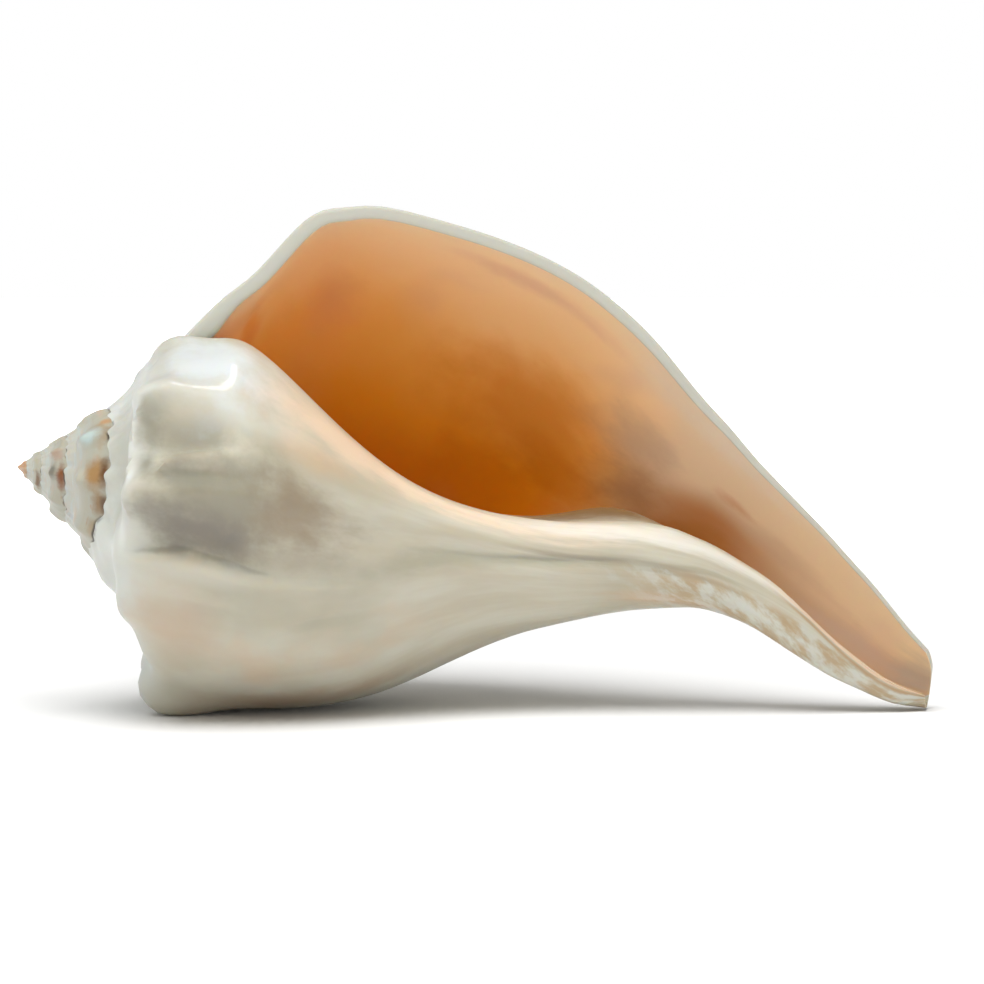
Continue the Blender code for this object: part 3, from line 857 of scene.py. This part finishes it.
@dataclass(frozen=True)
class ShellFinish:
    """The colours and gloss of the shell, outside and in."""

    cream: Colour = (0.475, 0.43, 0.325)
    chalk: Colour = (0.56, 0.545, 0.455)
    sage: Colour = (0.375, 0.365, 0.28)
    peach: Colour = (0.57, 0.42, 0.29)
    frost: Colour = (0.59, 0.61, 0.57)
    ash: Colour = (0.455, 0.445, 0.38)
    dun: Colour = (0.34, 0.325, 0.245)
    steel: Colour = (0.43, 0.48, 0.47)
    shell_pink: Colour = (0.48, 0.35, 0.26)
    rust: Colour = (0.36, 0.14, 0.035)
    soot: Colour = (0.06, 0.05, 0.038)
    tan: Colour = (0.42, 0.305, 0.175)
    lip_pink: Colour = (0.7, 0.54, 0.39)
    shadow_umber: Colour = (0.4, 0.27, 0.15)
    rim: Colour = (0.46, 0.465, 0.405)
    chalk_streaks: Mottle = Mottle((22.0, 0.7), (0.32, 0.72), 0.8, rough=0.55)
    peach_blots: Mottle = Mottle((14.0, 1.2), (0.5, 0.75), 0.45, rough=0.55)
    # Painted shadow colour, for the band under the raised lip line at the canal's end.
    frost_mottle: Mottle = Mottle((11.0, 5.0), (0.5, 0.4), 0.5, 4.0)
    tan_mottle: Mottle = Mottle((11.0, 5.0), (0.44, 0.62), 0.85, 4.0)
    steel_clouds: Mottle = Mottle((9.0, 1.8), (0.45, 0.62), 0.75)
    dun_streaks: Mottle = Mottle((4.0, 5.0), (0.54, 0.68), 0.45, shift=3.0)
    pink_blots: Mottle = Mottle((12.0, 1.5), (0.54, 0.7), 0.55, 4.0, shift=5.0)
    rust_stains: Mottle = Mottle((7.0, 1.3), (0.6, 0.7), 0.8, 4.0, 0.65, 9.0)
    washes: tuple[Wash, ...] = TINTS_AND_PAINTED_LIGHT
    lining_washes: tuple[Wash, ...] = LINING_TINTS_AND_PAINTED_LIGHT
    lining_stops: tuple[tuple[float, Colour], ...] = (
        (0, (0.9, 0.72, 0.47)), (0.08, (0.92, 0.72, 0.44)), (0.2, (0.96, 0.66, 0.34)),
        (0.35, (0.96, 0.58, 0.22)), (0.52, (0.94, 0.47, 0.09)), (0.66, (0.92, 0.38, 0.015)),
        (0.8, (0.84, 0.29, 0)), (1, (0.66, 0.2, 0)),
    )
    lining_depth: float = 0.28
    wash_raggedness: float = 1.6
    wash_edge: Pair = (1.35, 0.15)
    open_places: Rows = ((-1.64, 0.036), (-1.853, 0.016), (-2.745, 0.05))
    blush: Colour = (0.76, 0.6, 0.39)
    dusk: Colour = (0.53, 0.375, 0.225)
    lilac: Colour = (0.6, 0.4, 0.32)
    ember: Colour = (0.48, 0.16, 0.02)
    callus: Wash = Wash(frost, -0.9, 3.1, 0.085, 1.5, 0.55)
    pillar_gloss: float = 0.8
    gloss_smoothing: float = 0.1
    gloss_coat: float = 0.6
    line_height: float = 0.0002
    line_strength: float = 0.35
    roughness: float = 0.4
    coat: float = 0.12
    coat_roughness: float = 0.06
    subsurface: float = 0.35
    subsurface_scale: float = 0.003
    subsurface_radius: Point = (1.0, 0.5, 0.2)

    def washed(
        self, graph: ShaderGraph, washes: tuple[Wash, ...], colour: Signal, turn: Signal, station: Signal
    ) -> Signal:
        """Lays washes over a colour, each with a ragged edge."""
        ragged = graph.noise(graph.vector(turn * 26.0, station * 1.3, 4.0), 1.0, 4.0, 0.6)
        ragged = (ragged - 0.5) * self.wash_raggedness
        for wash in washes:
            far = wash.far(turn, station) + ragged
            colour = graph.mix(graph.step(far, *self.wash_edge, wash.share), colour, wash.colour)
        return colour

    def spire_colour(self, graph: ShaderGraph, colour: Signal, turn: Signal, station: Signal) -> Signal:
        """Tints the spire: ash, steel-grey spiral bands, and a few stains along the sutures."""
        near_suture = graph.step(station, 1.3, 2.8)
        tinted = graph.mix(self.steel_clouds.show(turn, station), self.ash, self.steel)
        tinted = graph.mix(near_suture * 0.7, tinted, self.dun)
        tinted = graph.mix(self.dun_streaks.show(turn, station), tinted, self.dun)
        tinted = graph.mix(self.pink_blots.show(turn, station), tinted, self.shell_pink)
        tinted = graph.mix(near_suture * self.rust_stains.show(turn, station), tinted, self.rust)
        return graph.mix(graph.step(turn, -0.98, -1.12, 0.9), colour, tinted)

    def outside_colour(
        self, graph: ShaderGraph, turn: Signal, station: Signal, seam: Signal, place: Signal
    ) -> Signal:
        """Mixes the outside's colour: cream with growth streaks, stains on the spire, tan on the canal,
        patches of colour and of painted shade and highlights, and a painted shadow under the lip line at
        the canal's end.
        """
        cloud = graph.noise(place, 30.0, 3.0, 0.5)
        side = graph.step(station, 2.2, 3.2) * graph.step(station, 6.5, 4.5)
        colour = graph.mix(self.chalk_streaks.show(turn, station), self.cream, self.chalk)
        colour = graph.mix(graph.step(cloud, 0.45, 0.75, 0.6), colour, self.sage)
        colour = graph.mix(side * self.peach_blots.show(turn, station), colour, self.peach)
        colour = graph.mix(graph.step(station, 2.5, 1.7, 0.85), colour, self.frost)
        colour = self.spire_colour(graph, colour, turn, station)
        colour = self.washed(graph, self.washes, colour, turn, station)
        canal = graph.step(station, 7.2, 8.4) * graph.step(turn, -0.8, -0.72)
        colour = graph.mix(canal * self.frost_mottle.show(turn, station), colour, self.frost)
        colour = graph.mix(canal * self.tan_mottle.show(turn, station), colour, self.tan)
        far_down = graph.step(station, 9.0, 9.35)
        past = turn + 0.945 - graph.step(station, 9.0, 9.75, 0.175)
        # Painted shadow: a dark umber band just below the raised lip line near the canal's end; the
        # tan-pink lip line itself is the shell's own colour.
        colour = graph.mix(graph.band(past, 0.06, 0.034, 0.9) * far_down, colour, self.shadow_umber)
        colour = graph.mix(graph.step(past, 0.034, 0.02, 0.9) * far_down, colour, self.lip_pink)
        gaps = graph.noise(graph.vector(turn * 13.0, 7.0), 1.0, 3.0, 0.6)
        open_seam = graph.step(gaps, 0.5, 0.6, 0.55)
        for middle, width in self.open_places:
            open_seam = open_seam + graph.band(turn, middle, width)
        gap = graph.step(seam, 0.5, 0.85) * graph.step(open_seam, 0.0, 1.0, 0.95)
        return graph.mix(gap, colour, self.soot)

    def lining_colour(self, graph: ShaderGraph, turn: Signal, station: Signal, place: Signal) -> Signal:
        """Mixes the inside's colour: amber, burnt orange further in, blush down the canal, and patches, two
        of them painted light in the corner under the lip.
        """
        cloud = graph.noise(place, 24.0, 3.0, 0.5)
        depth = (cloud - 0.5) * 0.3 - turn / self.lining_depth
        colour = graph.node("ValToRGB", {"stops": self.lining_stops}, {0: depth})
        drift = station + (cloud - 0.5) * 1.6
        canal = graph.mix(graph.step(turn, -0.1, -0.19), self.blush, self.dusk)
        colour = graph.mix(graph.step(drift, 5.2, 6.6, 0.9), colour, canal)
        bruise = graph.step(graph.noise(place, 38.0, 2.0, 0.5), 0.56, 0.74, 0.18)
        colour = graph.mix(bruise, colour, self.lilac)
        flame = graph.band(station, 7.2, 1.4, 0.8) * graph.step(turn + (cloud - 0.5) * 0.08, -0.11, -0.16)
        colour = graph.mix(flame, colour, self.ember)
        return self.washed(graph, self.lining_washes, colour, turn, station)

    def build(self) -> bpy.types.Material:
        """Builds the shell's material.

        Returns:
            The material, which reads the shell's three UV maps and its Object coordinates.
        """
        graph = ShaderGraph(bpy.data.materials.new("glossy_shell"))
        turn, station = graph.marks("growth")
        lining, edge = graph.marks("zones")
        seam = graph.marks("seams")[0]
        place = graph.node("TexCoord", out="Object")
        outside = self.outside_colour(graph, turn, station, seam, place)
        inside = self.lining_colour(graph, turn, station, place)
        colour = graph.mix(graph.step(lining, 0.45, 0.85), outside, inside)
        colour = graph.mix(graph.step(edge, 0.15, 0.5, 0.95), colour, self.rim)
        growth_lines = graph.noise(graph.vector(turn * 70.0, station * 0.9), 1.0, 1.0, 0.5)
        worn = 1 - lining * 0.8
        bump = {"Height": growth_lines * worn, "Distance": self.line_height, "Strength": self.line_strength}
        callus = graph.step(self.callus.far(turn, station), 1.0, 0.2, self.callus.share)
        pillar = graph.step((turn - self.callus.turn).abs(), 0.08, 0.02) * graph.step(station, 6.0, 7.0)
        gloss = callus + pillar * self.pillar_gloss
        inputs = {
            "Base Color": colour,
            "Roughness": self.roughness - gloss * self.gloss_smoothing,
            "Coat Weight": self.coat * worn + gloss * self.gloss_coat,
            "Coat Roughness": self.coat_roughness,
            "Subsurface Weight": self.subsurface,
            "Subsurface Scale": self.subsurface_scale,
            "Subsurface Radius": self.subsurface_radius,
            "Normal": graph.node("Bump", None, bump),
        }
        return graph.shine(graph.node("BsdfPrincipled", None, inputs))


@dataclass(frozen=True)
class FloorFinish:
    """A plain, nearly white floor that glows a little more with distance, so that it ends in white."""

    colour: Colour = (0.9, 0.9, 0.895)
    roughness: float = 0.9
    plain_radius: float = 0.15
    glow_radius: float = 0.5

    def build(self) -> bpy.types.Material:
        """Builds the floor's material."""
        graph = ShaderGraph(bpy.data.materials.new("studio_floor"))
        place = graph.node("TexCoord", out="Object")
        glow = graph.step(graph.length(place), self.plain_radius, self.glow_radius)
        inputs = {
            "Base Color": self.colour,
            "Roughness": self.roughness,
            "Specular IOR Level": 0.1,
            "Emission Color": graph.mix(glow, (0.0, 0.0, 0.0), (1.0, 1.0, 1.0)),
            "Emission Strength": 1.0,
        }
        return graph.shine(graph.node("BsdfPrincipled", None, inputs))


@dataclass(frozen=True)
class Softbox:
    """One studio light that shines at a point, with its sizes in metres and its power in watts.

    A light that isn't mirrored lights the shell but makes no highlight on it.
    """

    name: str
    place: Point
    size: Pair
    power: float
    mirrored: bool = False
    aim: Point = (0.0, 0.0, 0.05)

    def build(self) -> None:
        """Adds the light."""
        data = bpy.data.lights.new(self.name, "AREA")
        data.shape = "RECTANGLE"
        data.size, data.size_y = self.size
        data.energy = self.power
        lamp = bpy.data.objects.new(self.name, data)
        bpy.context.scene.collection.objects.link(lamp)
        lamp.location = self.place
        toward = Vector(self.aim) - Vector(self.place)
        lamp.rotation_euler = toward.to_track_quat("-Z", "Y").to_euler()
        lamp.visible_glossy = self.mirrored


@dataclass
class Studio:
    """The floor, the lights and the camera, in metres and degrees."""

    floor_size: float = 3.0
    view_target: Point = (0.0033, -0.0082, 0.0467)
    view_distance: float = 1.4
    view_height: float = 5.0
    view_width: float = 0.2082
    sky: float = 0.3
    sweep_top: Pair = (0.05, 0.22)
    boxes: tuple[Softbox, ...] = (
        Softbox("overhead_softbox", (-0.1, -0.27, 0.91), (0.9, 0.7), 10.4),
        Softbox("low_softbox", (0.1, -1.5, 0.14), (1.4, 0.4), 1.6),
        Softbox("window", (0.01, 0.15, 0.97), (0.11, 0.24), 0.7, True),
    )

    def build_floor(self) -> None:
        """Lays the floor at the height that the shell rests on."""
        bpy.ops.object.select_all(action="DESELECT")
        bpy.ops.mesh.primitive_plane_add(size=self.floor_size)
        floor = bpy.context.object
        floor.name = "studio_floor"
        floor.data.materials.append(FloorFinish().build())
        floor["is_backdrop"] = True

    def build_world(self) -> None:
        """Surrounds the scene with a white sweep low down and softer light above it."""
        graph = ShaderGraph(bpy.data.worlds.new("studio_world"))
        height = graph.node("SeparateXYZ", None, {0: graph.node("TexCoord", out="Generated")}, out="Z")
        strength = 1 - graph.step(height, *self.sweep_top, 1 - self.sky)
        background = graph.node("Background", None, {"Color": (1.0, 1.0, 1.0), "Strength": strength})
        bpy.context.scene.world = graph.shine(background)
        bpy.context.scene.view_settings.view_transform = "Standard"

    def build_camera(self) -> None:
        """Stands a long lens in front of the aperture, a little above level."""
        data = bpy.data.cameras.new("camera")
        data.lens = data.sensor_width * self.view_distance / self.view_width
        camera = bpy.data.objects.new("camera", data)
        bpy.context.scene.collection.objects.link(camera)
        rise = math.radians(self.view_height)
        back = Vector((0.0, -math.cos(rise), math.sin(rise)))
        camera.location = Vector(self.view_target) + back * self.view_distance
        camera.rotation_euler = (-back).to_track_quat("-Z", "Y").to_euler()
        bpy.context.scene.camera = camera

    def build(self) -> None:
        """Builds all of it."""
        self.build_floor()
        self.build_world()
        for box in self.boxes:
            box.build()
        self.build_camera()


def corners() -> list[list[float]]:
    """Gives the object's lowest and highest corners as plain lists."""
    return [list(corner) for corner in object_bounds()]


def main() -> None:
    """Builds the shell and its studio."""
    logging.basicConfig(level=logging.INFO, format="%(name)s: %(message)s")
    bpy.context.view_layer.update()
    form = ShellForm()
    shell = ShellPiece(form).build()
    shell.data.materials.append(ShellFinish().build())
    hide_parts(NODE)
    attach(shell, "root")
    LOG.info("%s: %d faces", shell.name, len(shell.data.polygons))
    Studio().build()


if __name__ == "__main__":
    main()
